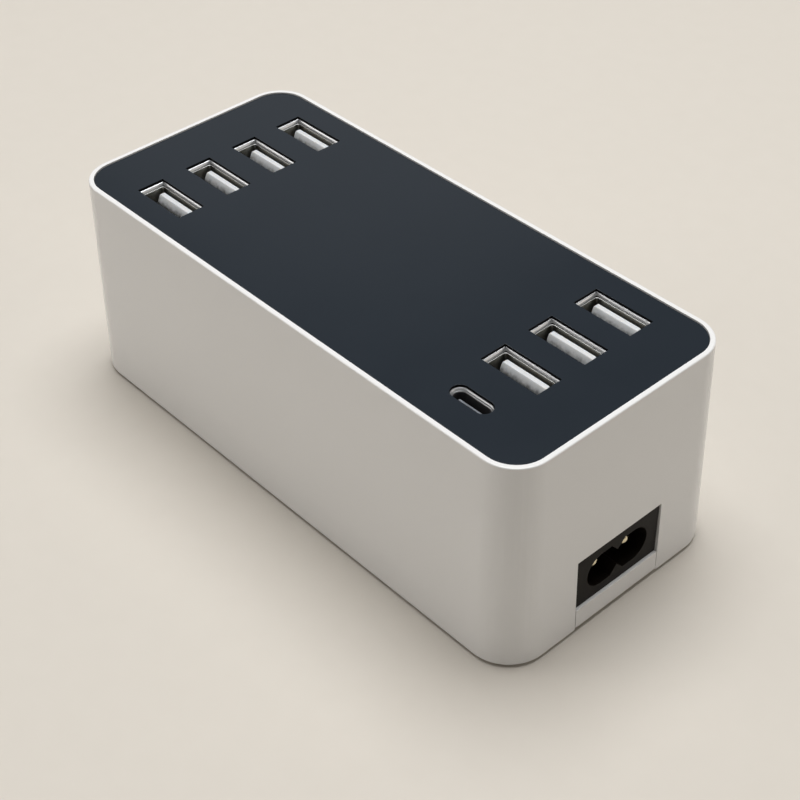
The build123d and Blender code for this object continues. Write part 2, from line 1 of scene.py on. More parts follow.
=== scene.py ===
# %% [markdown]
# # A desktop charger with eight sockets
# The CAD model gives every solid of the charger its true size and place. This lesson keeps those sizes
# and adds what the eye expects of the real thing: moulded edges that catch light, folded sheet metal,
# turned pins, gloss and fine grain. Every step first says what a piece or a finish is on the real
# charger, and then makes it.

# %% Load the frame
import json
import math
import bmesh
import bpy
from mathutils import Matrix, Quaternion, Vector


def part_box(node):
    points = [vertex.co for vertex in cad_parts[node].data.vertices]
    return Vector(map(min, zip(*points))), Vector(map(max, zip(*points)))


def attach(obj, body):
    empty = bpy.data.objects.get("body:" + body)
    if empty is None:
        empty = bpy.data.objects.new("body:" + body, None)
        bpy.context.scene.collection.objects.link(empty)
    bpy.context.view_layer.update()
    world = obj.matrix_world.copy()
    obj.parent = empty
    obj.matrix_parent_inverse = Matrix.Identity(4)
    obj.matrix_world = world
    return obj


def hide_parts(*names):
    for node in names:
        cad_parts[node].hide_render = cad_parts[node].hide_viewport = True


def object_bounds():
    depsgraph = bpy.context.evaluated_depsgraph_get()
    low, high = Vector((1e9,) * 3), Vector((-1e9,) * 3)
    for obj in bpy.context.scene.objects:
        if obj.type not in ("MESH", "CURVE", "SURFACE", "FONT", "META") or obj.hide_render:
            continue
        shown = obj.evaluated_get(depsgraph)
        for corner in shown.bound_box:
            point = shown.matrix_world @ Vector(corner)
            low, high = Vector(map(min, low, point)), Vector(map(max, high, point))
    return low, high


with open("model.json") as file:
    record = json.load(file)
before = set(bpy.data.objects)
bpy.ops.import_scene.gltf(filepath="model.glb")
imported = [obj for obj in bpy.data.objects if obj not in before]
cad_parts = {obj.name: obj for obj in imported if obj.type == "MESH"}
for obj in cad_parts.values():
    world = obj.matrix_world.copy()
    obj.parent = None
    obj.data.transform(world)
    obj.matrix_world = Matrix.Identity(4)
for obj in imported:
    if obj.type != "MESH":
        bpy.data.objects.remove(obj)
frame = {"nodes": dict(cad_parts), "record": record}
cad_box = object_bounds()
solids = frame["nodes"]
slot_of = {row["node"]: row["material_slot"] for row in frame["record"]["subparts"]}
mm = 0.001
print("solids in the frame:", len(solids), "finishes named:", len(set(slot_of.values())))

# %% [markdown]
# ## Writing shader nodes as plain sums
# A finish is a small network of nodes. Placing each node and wire by hand hides the idea behind it, so
# a value that comes out of a node is wrapped in a class that knows plus, minus and times. Writing
# `1 - mask` then adds the Math node by itself. All the other nodes come from one method, which sets a
# node up and then feeds it.

# %% A value that can be added and multiplied
class Value:
    """One output of a node. Sums on it add Math nodes to the same finish."""

    def __init__(self, finish, socket):
        self.finish = finish
        self.socket = socket

    def __add__(self, other):
        return self.finish.sum_up("ADD", self, other)

    def __sub__(self, other):
        return self.finish.sum_up("SUBTRACT", self, other)

    def __rsub__(self, other):
        return self.finish.sum_up("SUBTRACT", other, self)

    def __mul__(self, other):
        return self.finish.sum_up("MULTIPLY", self, other)

    __radd__ = __add__
    __rmul__ = __mul__


# %% A finish: one material and its nodes
finishes = {}


class Finish:
    """A material: a shader, or two mixed ones, and the nodes that feed them."""

    def __init__(self, slot):
        self.material = bpy.data.materials.new(slot)
        self.material.use_nodes = True
        self.tree = self.material.node_tree
        self.tree.nodes.clear()
        finishes[slot] = self

    def add(self, kind, settings=None, sockets=None, out=0):
        """Add a node, set it up, feed its sockets, and give one of its outputs."""
        node = self.tree.nodes.new("ShaderNode" + kind)
        for name, setting in (settings or {}).items():
            if name == "stops":
                node.color_ramp.elements[0].position = setting[0]
                node.color_ramp.elements[1].position = setting[1]
            else:
                setattr(node, name, setting)
        for name, value in (sockets or {}).items():
            socket = node.inputs[name]
            if isinstance(value, Value):
                self.tree.links.new(value.socket, socket)
            elif socket.type == "RGBA":
                socket.default_value = (*value, 1.0)
            else:
                socket.default_value = value
        return Value(self, node.outputs[out]) if len(node.outputs) else node

    def sum_up(self, operation, first, second):
        return self.add("Math", {"operation": operation}, {0: first, 1: second})

    def mix(self, share, first, second):
        """Blend two colours by a share from 0 to 1."""
        return self.add("Mix", {"data_type": "RGBA"}, {0: share, 6: first, 7: second}, out=2)

    def noise(self, size, detail=3.0, stretch=(1.0, 1.0, 1.0)):
        """Soft random grain. Size is in metres; stretch makes it longer along an axis."""
        place = self.add("TexCoord", out="Object")
        squeeze = tuple(1.0 / part for part in stretch)
        place = self.add("VectorMath", {"operation": "MULTIPLY"}, {0: place, 1: squeeze})
        return self.add("TexNoise", None, {"Vector": place, "Scale": 1.0 / size, "Detail": detail})

    def height(self):
        """Height above the desk, in metres."""
        place = self.add("TexCoord", out="Object")
        return self.add("SeparateXYZ", None, {0: place}, out="Z")

    def ramp(self, value, low, high):
        """Stretch a value so that low becomes 0 and high becomes 1."""
        return self.add("ValToRGB", {"stops": (low, high)}, {0: value})

    def shader(self, sockets, height=None, depth=0.0):
        """A shader with its own sockets, and a height that roughens it by a depth in metres."""
        if height is not None:
            relief = {"Strength": 1.0, "Distance": depth, "Height": height}
            sockets = {**sockets, "Normal": self.add("Bump", None, relief)}
        return self.add("BsdfPrincipled", None, sockets)

    def close(self, shader):
        self.add("OutputMaterial", None, {"Surface": shader})

    def surface(self, sockets, height=None, depth=0.0):
        """A finish of one shader only."""
        self.close(self.shader(sockets, height, depth))


print("a finish can add nodes, sums, mixes and grain")

# %% [markdown]
# ## White case
# The case is moulded in white plastic with a polished mould, so it is glossy but never quite flat:
# under raking light one sees a slow waviness, like the skin of an orange. A clear coat would look like
# paint, so the gloss comes from a low roughness, and the waviness from a shallow bump. Handling leaves
# the gloss a little uneven.

# %% Finish of the white case
case_white = Finish("white_case")
smudge = case_white.ramp(case_white.noise(18 * mm, 4.0), 0.35, 0.70)
tint = case_white.mix(case_white.noise(40 * mm), (0.790, 0.782, 0.770), (0.815, 0.808, 0.798))
waves = case_white.noise(3.2 * mm, 1.0) + 0.25 * case_white.noise(0.5 * mm, 2.0)
case_white.surface(
    {"Base Color": tint, "Roughness": 0.16 + 0.10 * smudge, "IOR": 1.50},
    waves, 0.005 * mm,
)
print("white case: gloss with a slow waviness")

# %% [markdown]
# ## Dark panel
# The plate let into the top has a face of charcoal lacquer, a touch blue. The face has a fine even grain
# that spreads reflections into a soft sheen. The grain is finer than a pixel here, so most of it is
# roughness, and a small bump and a slight unevenness of tone keep it from looking like one flat colour.
# The cut-out edges below the face get a second, near-black matt shader, mixed in by height: this is
# painted shade in the cut-outs.

# %% Finish of the dark panel
panel_dark = Finish("dark_panel")
cloud = panel_dark.noise(22 * mm, 3.0)
grain = panel_dark.noise(0.16 * mm, 2.0)
film = panel_dark.mix(cloud, (0.0085, 0.0140, 0.0210), (0.0110, 0.0170, 0.0250))
gloss = 0.14 + 0.05 * cloud + 0.04 * grain
face = panel_dark.shader({"Base Color": film, "Roughness": gloss, "IOR": 1.48}, grain, 0.003 * mm)
# The near-black matt edge shader below the panel's face is painted shade on the cut-out edges.
soot = panel_dark.mix(grain, (0.001, 0.001, 0.0015), (0.003, 0.003, 0.0035))
edge = panel_dark.shader({"Base Color": soot, "Roughness": 0.60 + 0.20 * grain, "IOR": 1.20})
panel_top_level = 48.0 * mm
painted_edge_shade = panel_dark.ramp((panel_top_level - panel_dark.height()) * (1.0 / mm), 0.01, 0.05)
panel_dark.close(panel_dark.add("MixShader", None, {0: painted_edge_shade, 1: face, 2: edge}))
print("dark panel: fine even grain, black cut edges")

# %% [markdown]
# ## Plated socket shells
# A socket's shell is drawn and folded from thin sheet steel and plated with nickel. Drawing pulls fine
# lines along the wall, so the grain is stretched along the height and changes the gloss a little.
# The nickel tone shows at the mouth. Deeper in the narrow tube the colour turns to a dark brown steel tone,
# which is painted shade.

# %% Finish of the plated shells
shell_metal = Finish("socket_metal")
drawn = shell_metal.noise(0.25 * mm, 2.0, (1.0, 1.0, 16.0))
stain = shell_metal.noise(2.5 * mm, 3.0)
plating = shell_metal.mix(stain, (0.69, 0.70, 0.71), (0.77, 0.78, 0.79))
# The dark brown steel tone, blended in below the mouth, is painted shade deep in the narrow tube.
steel = shell_metal.mix(drawn, (0.16, 0.155, 0.135), (0.27, 0.26, 0.23))
shell_shade_level = 46.90 * mm
depth_below = (shell_shade_level - shell_metal.height()) * (1.0 / mm)
painted_depth_shade = shell_metal.ramp(depth_below, 0.0, 0.25)
shell_metal.surface({
    "Base Color": shell_metal.mix(painted_depth_shade, plating, steel),
    "Metallic": 1.0,
    "Roughness": 0.35 + 0.05 * drawn,
})
print("socket shells: nickel at the mouth, brown steel in the depth")

# %% [markdown]
# ## Tongues and contacts
# The white tongue in each large socket is a glass-filled plastic that lets a little light in, so its
# edges look soft: that is subsurface scattering over less than a millimetre. Below the tip, metal plugs
# rub grey marks into it, and a plain grey that deepens further down is painted shade inside the socket.
# The tongue in the oval socket is dark grey. Contacts are plated springs: pale and slightly yellow, with
# fine streaks along the height.

# %% Finishes of the tongues and contacts
tongue_white = Finish("tongue_white")
fibre = tongue_white.noise(0.35 * mm, 4.0)
chalk = tongue_white.mix(fibre, (0.62, 0.63, 0.635), (0.71, 0.72, 0.725))
soft = {"Subsurface Weight": 0.6, "Subsurface Scale": 0.7 * mm, "Subsurface Radius": (1.0, 0.9, 0.8)}
floor_level = 43.00
rub_level = 45.60
tongue_shade_level = 45.25
level = tongue_white.height() * (1.0 / mm)
above_floor = tongue_white.ramp(level - floor_level, 0.0, 1.0)
rub_band = tongue_white.ramp(rub_level - level, 0.05, 0.75) * above_floor
# This band is a plain grey that grows downwards: painted shade inside the socket. The random rub marks are
# wear.
painted_shade_band = tongue_white.ramp(tongue_shade_level - level, 0.0, 0.7) * above_floor
scratches = tongue_white.noise(0.60 * mm, 2.0, (1.3, 1.0, 2.0))
rub_marks = tongue_white.ramp(scratches, 0.40, 0.72)
rub_marks_and_shade = 0.75 * rub_band * rub_marks + 0.45 * painted_shade_band
rubbed_and_shaded = tongue_white.mix(rub_marks_and_shade, chalk, (0.26, 0.265, 0.27))
tongue_white.surface({"Base Color": rubbed_and_shaded, "Roughness": 0.36 + 0.12 * fibre, **soft}, fibre, 0.006 * mm)

tongue_black = Finish("tongue_black")
soot = tongue_black.noise(0.30 * mm, 3.0)
coal = tongue_black.mix(soot, (0.030, 0.030, 0.032), (0.050, 0.050, 0.053))
tongue_black.surface({"Base Color": coal, "Roughness": 0.34 + 0.12 * soot}, soot, 0.004 * mm)

contact_gold = Finish("contact_gold")
rub = contact_gold.noise(0.4 * mm, 3.0, (1.0, 1.0, 5.0))
plate = contact_gold.mix(rub, (0.70, 0.67, 0.60), (0.80, 0.77, 0.70))
contact_gold.surface({"Base Color": plate, "Metallic": 1.0, "Roughness": 0.30 + 0.14 * rub}, rub, 0.001 * mm)
print("tongues: chalk white and dark grey; contacts: pale plate")

# %% [markdown]
# ## Mains inlet
# The inlet is moulded in flame-proof black plastic, duller and slightly browner than the panel, and its
# two pins are plated brass turned to a domed end.

# %% Finishes of the inlet and its pins
inlet_black = Finish("inlet_black")
speck = inlet_black.noise(0.45 * mm, 4.0)
char = inlet_black.mix(speck, (0.0045, 0.0030, 0.0018), (0.0075, 0.0053, 0.0035))
inlet_black.surface({"Base Color": char, "Roughness": 0.38 + 0.12 * speck, "IOR": 1.20}, speck, 0.002 * mm)

pin_brass = Finish("inlet_pin")
turning = pin_brass.noise(0.10 * mm, 2.0, (1.0, 6.0, 6.0))
brass = pin_brass.mix(turning, (0.78, 0.69, 0.47), (0.87, 0.79, 0.58))
pin_brass.surface(
    {"Base Color": brass, "Metallic": 1.0, "Roughness": 0.14 + 0.10 * turning},
    turning, 0.0008 * mm,
)
print("inlet: dull black body, bright pins")

# %% [markdown]
# ## Feet and screws
# The feet are soft black rubber with a dusty bloom. The screws are zinc-plated steel.

# %% Finishes of the feet and screws
foot_rubber = Finish("rubber")
bloom = foot_rubber.noise(1.2 * mm, 5.0)
dusty = foot_rubber.mix(bloom, (0.022, 0.022, 0.023), (0.050, 0.049, 0.047))
foot_rubber.surface({"Base Color": dusty, "Roughness": 0.70 + 0.20 * bloom}, bloom, 0.020 * mm)

screw_steel = Finish("screw_steel")
lathe = screw_steel.noise(0.25 * mm, 2.0)
zinc = screw_steel.mix(lathe, (0.46, 0.46, 0.47), (0.60, 0.60, 0.61))
screw_steel.surface(
    {"Base Color": zinc, "Metallic": 1.0, "Roughness": 0.30 + 0.15 * lathe},
    lathe, 0.003 * mm,
)
print("feet: rubber with bloom; screws: zinc")

# %% [markdown]
# ## What sits inside
# Nobody sees the boards and their parts while the case is shut, but a part of the library may be opened
# up. Each family of components gets its usual finish, made by one function: two tones, a grain and its
# depth.

# %% Finishes of the boards and components
def component_finish(slot, dark, light, size, depth, roughness, metallic=0.0, stretch=(1.0, 1.0, 1.0)):
    finish = Finish(slot)
    grain = finish.noise(size, 3.0, stretch)
    sockets = {
        "Base Color": finish.mix(grain, dark, light),
        "Roughness": roughness + 0.15 * grain,
        "Metallic": metallic,
    }
    finish.surface(sockets, grain, depth)


wound = (30.0, 30.0, 1.0)
component_finish("circuit_board", (0.010, 0.085, 0.035), (0.030, 0.200, 0.085), 2.2 * mm, 0.020 * mm, 0.30)
component_finish("clear_sheet", (0.62, 0.62, 0.58), (0.74, 0.74, 0.70), 6.0 * mm, 0.010 * mm, 0.25)
component_finish("black_epoxy", (0.014, 0.014, 0.015), (0.030, 0.030, 0.031), 0.3 * mm, 0.008 * mm, 0.45)
component_finish("film_box", (0.60, 0.36, 0.030), (0.74, 0.48, 0.055), 0.8 * mm, 0.010 * mm, 0.35)
component_finish("disc_blue", (0.030, 0.110, 0.330), (0.050, 0.170, 0.450), 0.9 * mm, 0.015 * mm, 0.28)
component_finish("can_sleeve", (0.012, 0.013, 0.030), (0.022, 0.024, 0.050), 4.0 * mm, 0.010 * mm, 0.22)
component_finish("ferrite", (0.030, 0.030, 0.033), (0.062, 0.062, 0.066), 0.4 * mm, 0.015 * mm, 0.55)
component_finish(
    "copper_wire", (0.42, 0.16, 0.060), (0.66, 0.30, 0.130), 0.6 * mm, 0.060 * mm, 0.25, 1.0, wound,
)
component_finish(
    "coil_tape", (0.62, 0.48, 0.050), (0.78, 0.64, 0.110), 0.9 * mm, 0.030 * mm, 0.30, 0.0, wound,
)
component_finish("bobbin_black", (0.014, 0.014, 0.014), (0.028, 0.028, 0.027), 0.5 * mm, 0.010 * mm, 0.45)
component_finish(
    "sink_aluminium", (0.60, 0.61, 0.62), (0.74, 0.75, 0.76), 0.3 * mm, 0.006 * mm, 0.30, 1.0, wound,
)
for name, solid in solids.items():
    solid.data.materials.clear()
    solid.data.materials.append(finishes[slot_of[name]].material)
print("finishes made:", len(finishes))

# %% [markdown]
# ## Moulded edges
# A mould never has a perfectly sharp edge, and that tiny radius is what draws the bright line along a
# real one. The solids leave it out. Here a solid's mesh is copied, its flat triangles are joined back
# into whole faces, and each sharp edge is rounded with a bevel. Weighted normals keep the flats looking
# flat beside the new rounds.

# %% Round the edges of a solid
sharp_angle = math.radians(28)
flat_angle = math.radians(0.6)
weld_distance = 0.0005 * mm


def add_piece(name, shape, slot, *replaced):
    """Make a mesh shape into a piece that moves with the charger and stands for some solids."""
    for face in shape.faces:
        face.smooth = True
    for edge in shape.edges:
        edge.smooth = edge.calc_face_angle(0.0) < sharp_angle
    mesh = bpy.data.meshes.new(name)
    shape.to_mesh(mesh)
    shape.free()
    mesh.materials.append(finishes[slot].material)
    piece = bpy.data.objects.new(name, mesh)
    bpy.context.scene.collection.objects.link(piece)
    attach(piece, "root")
    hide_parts(*replaced)
    normals = piece.modifiers.new("flat faces stay flat", "WEIGHTED_NORMAL")
    normals.keep_sharp = True
    return piece


def moulded(name, node, radius, steps=3):
    """A copy of a solid with rounded edges, in place of the solid."""
    shape = bmesh.new()
    shape.from_mesh(solids[node].data)
    bmesh.ops.remove_doubles(shape, verts=shape.verts, dist=weld_distance)
    bmesh.ops.dissolve_limit(shape, angle_limit=flat_angle, verts=shape.verts, edges=shape.edges)
    sharp = [edge for edge in shape.edges if edge.calc_face_angle(0.0) > sharp_angle]
    bmesh.ops.bevel(
        shape, geom=sharp, offset=radius, offset_type="OFFSET", segments=steps, profile=0.5,
        affect="EDGES", clamp_overlap=True,
    )
    return add_piece(name, shape, slot_of[node], node)


case = moulded("case", "outer_shell", 0.12 * mm)
panel = moulded("panel", "top_panel", 0.06 * mm)
cover = moulded("cover", "bottom_cover", 0.24 * mm)
inlet = moulded("inlet", "ac_inlet", 0.12 * mm)
print("rounded pieces:", [(piece.name, len(piece.data.polygons)) for piece in (case, panel, cover, inlet)])

# %% [markdown]
# ## Loops and skins
# Sheet metal, tongues and turned parts are all made in one way: a row of loops of points, and a skin of
# faces over them. A loop may be a rounded rectangle that climbs the height, a circle that follows a
# lathe profile, or the cross-section of a folded strip. From here on lengths are in millimetres, as on
# a drawing.

# %% Loops of points, and the skin over a row of loops
same_point = 0.0001


def rounded_loop(half_x, half_y, radius, height, centre, steps=6):
    """A rounded rectangle at one height. Where two corners meet, their shared point comes once."""
    loop = []
    for quarter, (side_x, side_y) in enumerate(((1, 1), (-1, 1), (-1, -1), (1, -1))):
        for step in range(steps + 1):
            angle = math.radians(90 * (quarter + step / steps))
            x = side_x * (half_x - radius) + radius * math.cos(angle)
            y = side_y * (half_y - radius) + radius * math.sin(angle)
            point = Vector((centre[0] + x, centre[1] + y, height))
            if all((point - other).length > same_point for other in loop[:1] + loop[-1:]):
                loop.append(point)
    return loop


def skin(shape, loops, closed=False):
    """Cover a row of loops with faces. A closed row joins up with its start; an open one gets caps."""
    rows = [[shape.verts.new(point * mm) for point in loop] for loop in loops]
    faces = []
    for first, second in zip(rows, rows[1:] + rows[:1] if closed else rows[1:]):
        for place in range(len(first)):
            following = (place + 1) % len(first)
            faces.append(shape.faces.new((first[place], first[following], second[following], second[place])))
    if not closed:
        faces.append(shape.faces.new(rows[0][::-1]))
        faces.append(shape.faces.new(rows[-1]))
    bmesh.ops.recalc_face_normals(shape, faces=faces)


def box_of(node):
    """Middle, half size, bottom and top of a solid's box, in millimetres."""
    low, high = (Vector(corner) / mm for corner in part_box(node))
    return (low + high) / 2, (high - low) / 2, low.z, high.z


quarter_turn = [math.radians(18 * step) for step in range(6)]
half_turn = [math.radians(22.5 * step) for step in range(9)]
print("loops and skins are ready")

# %% [markdown]
# ## Large socket shells
# A shell starts as a flat blank. It is folded into an oblong tube, and four flaps at the mouth are bent
# outwards to guide the plug. The flaps are separate, so a fine dark line runs down each corner where
# two of them meet. Below the bend the tube's own edge shows as a thin bright bead. Springs are cut free
# from the walls and bulge inwards to grip the plug: two on the long wall that faces the tongue, and one
# on each end. A flap leans out steeply and only turns level in the last stretch, where it passes under
# the panel.

# %% Shells of the seven large sockets
sheet = 0.20
tube_corner = 0.7
back_drop = 0.7 * sheet
lip_x = 0.80
lip_y = 0.62
lip_hidden = 0.30
flap_height = 0.62
flap_start = 0.26
mitre_gap = 0.04
flap_face = [
    (0.00, -0.30), (0.00, -0.05), (0.08, 0.10), (0.28, 0.30), (0.47, 0.44),
    (0.65, 0.54), (0.83, 0.60), (1.00, 0.62),
]
spring_profile = [
    (0.06, -1.2), (-0.10, -2.2), (-0.30, -3.4), (-0.38, -4.2), (-0.34, -4.9), (-0.20, -5.8), (-0.02, -6.9),
    (0.16, -6.9), (0.00, -5.8), (-0.14, -4.9), (-0.18, -4.2), (-0.10, -3.4), (0.10, -2.2), (0.22, -1.2),
]
# Each spring: its wall, the place of its middle along the wall, and half its width.
springs = [("-y", -3.0, 1.1), ("-y", 3.0, 1.1), ("+x", -0.3, 0.9), ("-x", 0.3, 0.9)]


def on_wall(way, reach, out, along, height, centre):
    """A point beside one of the four walls: out from the wall and along it."""
    turn = {"+x": (1, 0), "-x": (-1, 0), "+y": (0, 1), "-y": (0, -1)}[way]
    x = turn[0] * (reach + out) - turn[1] * along
    y = turn[1] * (reach + out) + turn[0] * along
    return Vector((centre[0] + x, centre[1] + y, height))


def flap_profile(lean):
    """A flap's cross-section: distances out from the wall's inner face, heights above the tube's edge."""
    face = [(flap_start + (lean - flap_start) * share, rise) for share, rise in flap_face]
    back = [(lean + lip_hidden, flap_height), (lean + lip_hidden, flap_height - sheet)]
    for out, rise in reversed(face[:-1]):
        back.append((out + sheet, rise - back_drop))
    return face + back


def socket_shell(number):
    centre, half, bottom, top = box_of(f"usb_a_shell_{number}")
    inner_x, inner_y = half.x - lip_hidden - lip_x, half.y - lip_hidden - lip_y
    outer_x, outer_y = inner_x + sheet, inner_y + sheet
    edge = top - flap_height
    shape = bmesh.new()
    tube = [rounded_loop(outer_x, outer_y, tube_corner, bottom, centre)]
    for angle in half_turn:
        inset = sheet / 2 * (1 - math.cos(angle))
        height = edge - sheet / 2 * (1 - math.sin(angle))
        corner = tube_corner - inset
        tube.append(rounded_loop(outer_x - inset, outer_y - inset, corner, height, centre))
    tube.append(rounded_loop(inner_x, inner_y, tube_corner - sheet, bottom, centre))
    skin(shape, tube, closed=True)
    for way in ("+x", "-x", "+y", "-y"):
        ends_wall = "x" in way
        reach, width = (inner_x, inner_y) if ends_wall else (inner_y, inner_x)
        lean, other_lean = (lip_x, lip_y) if ends_wall else (lip_y, lip_x)
        mitre = (other_lean - flap_start) / (lean - flap_start)
        ends = []
        for side in (-1, 1):
            row = []
            for out, rise in flap_profile(lean):
                along = width + flap_start + (out - flap_start) * mitre - mitre_gap
                row.append(on_wall(way, reach, out, side * along, edge + rise, centre))
            ends.append(row)
        skin(shape, ends)
    for way, middle, half_width in springs:
        reach = inner_x if "x" in way else inner_y
        ends = []
        for side in (-1, 1):
            ends.append([
                on_wall(way, reach, out, middle + side * half_width, edge + rise, centre)
                for out, rise in spring_profile
            ])
        skin(shape, ends)
    return add_piece(f"drawn_shell_{number}", shape, "socket_metal", f"usb_a_shell_{number}")


shells = [socket_shell(number) for number in range(1, 8)]
print("socket shells:", len(shells), "faces each:", len(shells[0].data.polygons))

# %% [markdown]
# ## Large socket tongues
# A tongue stands in the shell like a small wall, nearer to one side. Its tip is a wedge: level along
# the wall and sloping on the open side, so that a plug slides past, with round ends. Its foot fills the
# shell below. The wedge is one cross-section, repeated along the length and drawn in at the two ends.

# %% Tongues of the seven large sockets
tongue_half = (5.55, 0.92)
tongue_shift = 1.055
foot_height = 3.0
foot_inset = 0.15
foot_corner = 0.4
foot_round = 0.2
tongue_sunk = 0.1
end_round = 0.48
wedge = [
    (0.92, 0.03), (0.912, 0.008), (0.89, 0.00), (-0.02, 0.00), (-0.10, 0.04), (-0.20, 0.16), (-0.42, 0.55),
    (-0.66, 1.02), (-0.84, 1.40), (-0.92, 1.70),
]
near_end = [
    (tongue_half[0] - end_round * (1 - math.cos(angle)), end_round * (1 - math.sin(angle)))
    for angle in quarter_turn
]
stations = [(-along, inset) for along, inset in near_end] + near_end[::-1]


def socket_tongue(number):
    centre, half, bottom, top = box_of(f"usb_a_insulator_{number}")
    middle = (centre.x, centre.y + tongue_shift)
    shape = bmesh.new()
    foot_x = half.x - foot_inset
    foot = [rounded_loop(foot_x, half.y, foot_corner, bottom, centre)]
    for angle in quarter_turn:
        inset = foot_round * (1 - math.cos(angle))
        height = bottom + foot_height - foot_round * (1 - math.sin(angle))
        foot.append(rounded_loop(foot_x - inset, half.y - inset, foot_corner - inset, height, centre))
    skin(shape, foot)
    bar = []
    for along, inset in stations:
        shrink = 1 - inset / tongue_half[1]
        section = [(across * shrink, top - inset - drop * shrink) for across, drop in wedge]
        root = bottom + foot_height - tongue_sunk
        section += [(side * tongue_half[1] * shrink, root) for side in (-1, 1)]
        bar.append([Vector((middle[0] + along, middle[1] + across, height)) for across, height in section])
    skin(shape, bar)
    return add_piece(f"white_tongue_{number}", shape, "tongue_white", f"usb_a_insulator_{number}")


tongues = [socket_tongue(number) for number in range(1, 8)]
print("tongues:", len(tongues), "faces each:", len(tongues[0].data.polygons))

# %% [markdown]
# ## Large socket contacts
# Four flat springs lie on the face of each tongue. Each one leaves the foot, bows out to a crest where
# the plug rubs, and dives back into the tongue at its tip. The outer two reach higher, so that power
# meets before data.

# %% Contacts of the large sockets
contact_profile = [
    (0.03, 0.0), (0.00, 3.2), (-0.05, 5.0), (-0.10, 6.0), (-0.07, 6.8), (0.04, 7.4), (0.22, 7.9), (0.40, 8.2),
    (0.50, 8.1), (0.34, 7.7), (0.18, 7.2), (0.10, 6.7), (0.07, 6.0), (0.12, 5.0), (0.17, 3.2), (0.20, 0.0),
]
profile_length = 8.2
contact_places = ((-3.5, 0.0), (-1.0, -0.5), (1.0, -0.5), (3.5, 0.0))
contact_length = 7.6
contact_half_width = 0.5
contact_stand_off = 0.16
contact_sunk = 0.05


def row_of_contacts(name, numbers):
    shape = bmesh.new()
    for number in numbers:
        centre, _, bottom, _ = box_of(f"usb_a_insulator_{number}")
        face = centre.y + tongue_shift - tongue_half[1] - contact_stand_off
        start = bottom + foot_height - contact_sunk
        for across, shorter in contact_places:
            length = contact_length + shorter
            ends = []
            for side in (-contact_half_width, contact_half_width):
                ends.append([
                    Vector((centre.x + across + side, face + out, start + rise * length / profile_length))
                    for out, rise in contact_profile
                ])
            skin(shape, ends)
    return add_piece(f"contact_springs_{name}", shape, "contact_gold", f"usb_a_contacts_{name}")


row_of_contacts("far", range(1, 5))
row_of_contacts("near", range(5, 8))
print("contacts: 16 in the far row, 12 in the near row")

# %% [markdown]
# ## Oval socket
# The small socket's shell is a seamless oval tube whose mouth is opened a little, like a funnel, with a
# thin bead below it. A black sleeve inside the steel, below the bright rim, is painted shade: it makes
# the deep mouth look dark. The tongue stands in the middle. It is moulded round a bare steel plate, which
# shows along its tip, and has contacts on both faces.

# %% Shell of the oval socket
oval, oval_half, oval_bottom, oval_top = box_of("usb_c_shell")
side_share = 0.6
oval_steps = 10


def oval_tube(shape, profile):
    """An oval tube with a closed cross-section: distances in from the shell's outer face, and heights.

    The distances hold at the two ends. Along the sides the funnel and the wall are narrower.
    """
    loops = []
    for inset, height in profile:
        side = oval_half.y - (inset if inset < 0 else inset * side_share)
        loops.append(rounded_loop(oval_half.x - inset, side, side, height, oval, oval_steps))
    skin(shape, loops, closed=True)


mouth = [
    (-0.05, -0.45), (-0.16, -0.14), (-0.17, -0.05), (-0.14, 0.0), (-0.09, 0.0), (0.0, -0.06), (0.09, -0.15),
    (0.17, -0.26), (0.23, -0.38), (0.25, -0.48), (0.29, -0.50), (0.34, -0.54), (0.36, -0.62),
]
# This black sleeve is painted shade: a dark sheet inside the steel, where the deep mouth lies in shade.
shade_sleeve = [(0.37, -0.72), (0.41, -0.68), (0.47, -0.74)]
flare_height = 0.8
shade_sleeve_bottom = oval_bottom + 3.5
shell_wall = [(0.0, oval_bottom), (0.0, oval_top - flare_height)]
shell_wall += [(inset, oval_top + drop) for inset, drop in mouth]
shell_wall.append((mouth[-1][0], oval_bottom))
oval_shape = bmesh.new()
oval_tube(oval_shape, shell_wall)
add_piece("oval_shell", oval_shape, "socket_metal", "usb_c_shell")
shade_sleeve_wall = [(shade_sleeve[0][0], shade_sleeve_bottom)]
shade_sleeve_wall += [(inset, oval_top + drop) for inset, drop in shade_sleeve]
shade_sleeve_wall.append((shade_sleeve[-1][0], shade_sleeve_bottom))
shade_sleeve_shape = bmesh.new()
oval_tube(shade_sleeve_shape, shade_sleeve_wall)
add_piece("oval_shade_sleeve", shade_sleeve_shape, "tongue_black")
print("oval shell: steel outside, black lining inside")

# %% Tongue of the oval socket
blade, blade_half, blade_bottom, blade_top = box_of("usb_c_insulator")
base_bevel = 0.1
base_top = blade_bottom + 3.0
blade_start = blade_bottom + 2.9
blade_x = 3.35
blade_y = 0.35
blade_corner = 0.30
tip_drop = 0.05
tip_inset = 0.14
tip_height = 0.22
blade_shape = bmesh.new()
base_loops = []
for inset, height in ((0.0, blade_bottom), (0.0, blade_start), (base_bevel, base_top)):
    side = blade_half.y - inset
    base_loops.append(rounded_loop(blade_half.x - inset, side, side, height, blade, oval_steps))
skin(blade_shape, base_loops)
blade_loops = [rounded_loop(blade_x, blade_y, blade_corner, blade_start, blade)]
for angle in quarter_turn:
    inset = tip_inset * (1 - math.cos(angle))
    height = blade_top - tip_drop - tip_height * (1 - math.sin(angle))
    corner = blade_corner - inset
    blade_loops.append(rounded_loop(blade_x - inset, blade_y - inset, corner, height, blade))
skin(blade_shape, blade_loops)
add_piece("oval_tongue", blade_shape, "tongue_black", "usb_c_insulator")
print("oval tongue: grey body")

# %% [markdown]
# ## Plate in the oval tongue
# The plate is rolled steel without plating, so it is a darker and bluer grey than the shells, with fine
# lines along its length. Its upper edges are broken by a small bevel.

